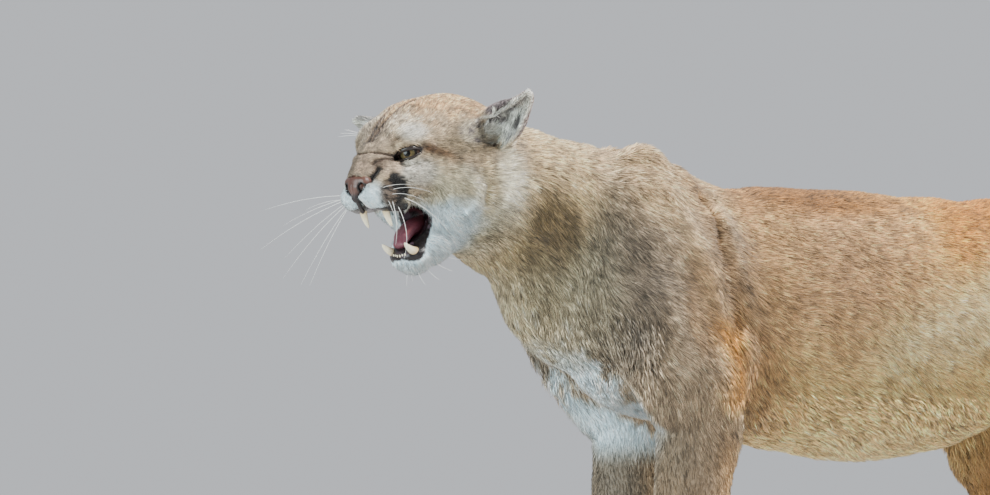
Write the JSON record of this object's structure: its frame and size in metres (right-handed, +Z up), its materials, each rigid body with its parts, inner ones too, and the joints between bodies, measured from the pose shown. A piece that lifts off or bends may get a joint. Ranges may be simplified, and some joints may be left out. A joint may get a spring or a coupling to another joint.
{
  "type": "standing cougar model",
  "caption": "Life-size still model of a standing cougar, snarling with the head turned to its left, ears laid out sideways and the tail hanging.",
  "frame": {"origin": "on the ground, below the middle of the body's length and width", "axes": "+Z up, the head points to -X, the animal's left side is -Y"},
  "size_m": [1.4862, 0.2844, 0.7632],
  "materials": {
    "tawny_fur": "short fur, tawny with a grizzled shoulder and golden flank",
    "white_fur": "short white fur",
    "dark_fur": "short dark fur",
    "nose_leather": "pebbled, slightly moist",
    "tongue": "moist, rough with papillae",
    "eye": "wet gloss, olive amber iris with a round black pupil"
  },
  "bodies": {
    "root": {"head": "tawny_fur", "neck": "tawny_fur", "torso": "tawny_fur", "foreleg_left": "tawny_fur", "foreleg_right": "tawny_fur", "forepaw_left": "tawny_fur", "forepaw_right": "tawny_fur", "hindleg_left": "tawny_fur", "hindleg_right": "tawny_fur", "hindpaw_left": "tawny_fur", "hindpaw_right": "tawny_fur", "tail_root": "tawny_fur", "tail_middle": "tawny_fur", "ear_left": "tawny_fur", "ear_right": "tawny_fur", "lower_jaw": "white_fur", "tail_tip": "dark_fur", "nose": "nose_leather", "tongue": "tongue", "eye_left": "eye", "eye_right": "eye"}
  },
  "joints": []
}
